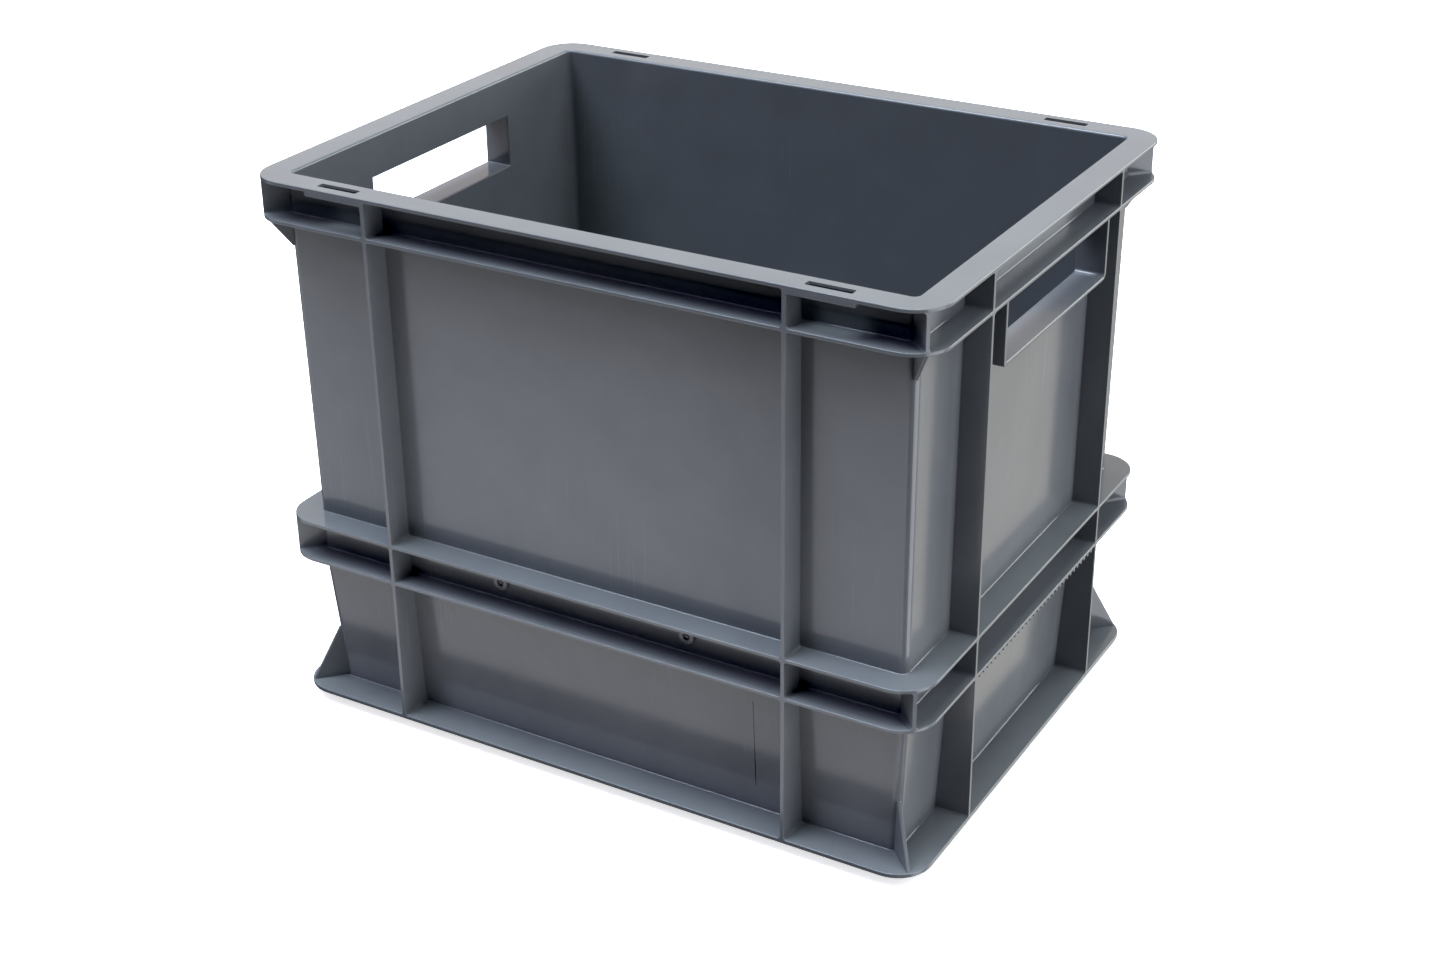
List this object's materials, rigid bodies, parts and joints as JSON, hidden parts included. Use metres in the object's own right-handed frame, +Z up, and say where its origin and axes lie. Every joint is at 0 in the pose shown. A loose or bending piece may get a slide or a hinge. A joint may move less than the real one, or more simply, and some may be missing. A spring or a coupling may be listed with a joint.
{
  "type": "stacking crate",
  "caption": "Open-top grey plastic stacking crate with flat rim, two flanged bands, upright ribs, corner gussets and a collared hand hole in each short side.",
  "frame": {"origin": "centre of the underside of the stacking foot", "axes": "+Z up, +X along the long side, +Y along the short side towards the back"},
  "size_m": [0.4, 0.3, 0.32],
  "materials": {
    "crate_plastic": "satin moulded polypropylene, mid grey"
  },
  "bodies": {
    "root": {"base_flange": "crate_plastic", "base_gusset_back_left": "crate_plastic", "base_gusset_back_right": "crate_plastic", "base_gusset_front_left": "crate_plastic", "base_gusset_front_right": "crate_plastic", "floor_panel": "crate_plastic", "floor_runner_back": "crate_plastic", "floor_runner_front": "crate_plastic", "floor_runner_middle": "crate_plastic", "handle_collar_left": "crate_plastic", "handle_collar_right": "crate_plastic", "lower_corner_back_left": "crate_plastic", "lower_corner_back_right": "crate_plastic", "lower_corner_front_left": "crate_plastic", "lower_corner_front_right": "crate_plastic", "lower_rib_back_a": "crate_plastic", "lower_rib_back_b": "crate_plastic", "lower_rib_front_a": "crate_plastic", "lower_rib_front_b": "crate_plastic", "lower_rib_left_a": "crate_plastic", "lower_rib_left_b": "crate_plastic", "lower_rib_right_a": "crate_plastic", "lower_rib_right_b": "crate_plastic", "lower_wall_back": "crate_plastic", "lower_wall_front": "crate_plastic", "lower_wall_left": "crate_plastic", "lower_wall_right": "crate_plastic", "mid_channel": "crate_plastic", "mid_lower_flange": "crate_plastic", "mid_upper_flange": "crate_plastic", "rim_flange": "crate_plastic", "stacking_foot": "crate_plastic", "top_channel": "crate_plastic", "top_gusset_back_left": "crate_plastic", "top_gusset_back_right": "crate_plastic", "top_gusset_front_left": "crate_plastic", "top_gusset_front_right": "crate_plastic", "top_lower_flange": "crate_plastic", "upper_corner_back_left": "crate_plastic", "upper_corner_back_right": "crate_plastic", "upper_corner_front_left": "crate_plastic", "upper_corner_front_right": "crate_plastic", "upper_rib_back_a": "crate_plastic", "upper_rib_back_b": "crate_plastic", "upper_rib_front_a": "crate_plastic", "upper_rib_front_b": "crate_plastic", "upper_rib_left_a": "crate_plastic", "upper_rib_left_b": "crate_plastic", "upper_rib_right_a": "crate_plastic", "upper_rib_right_b": "crate_plastic", "upper_wall_back": "crate_plastic", "upper_wall_front": "crate_plastic", "upper_wall_left": "crate_plastic", "upper_wall_right": "crate_plastic"}
  },
  "joints": []
}
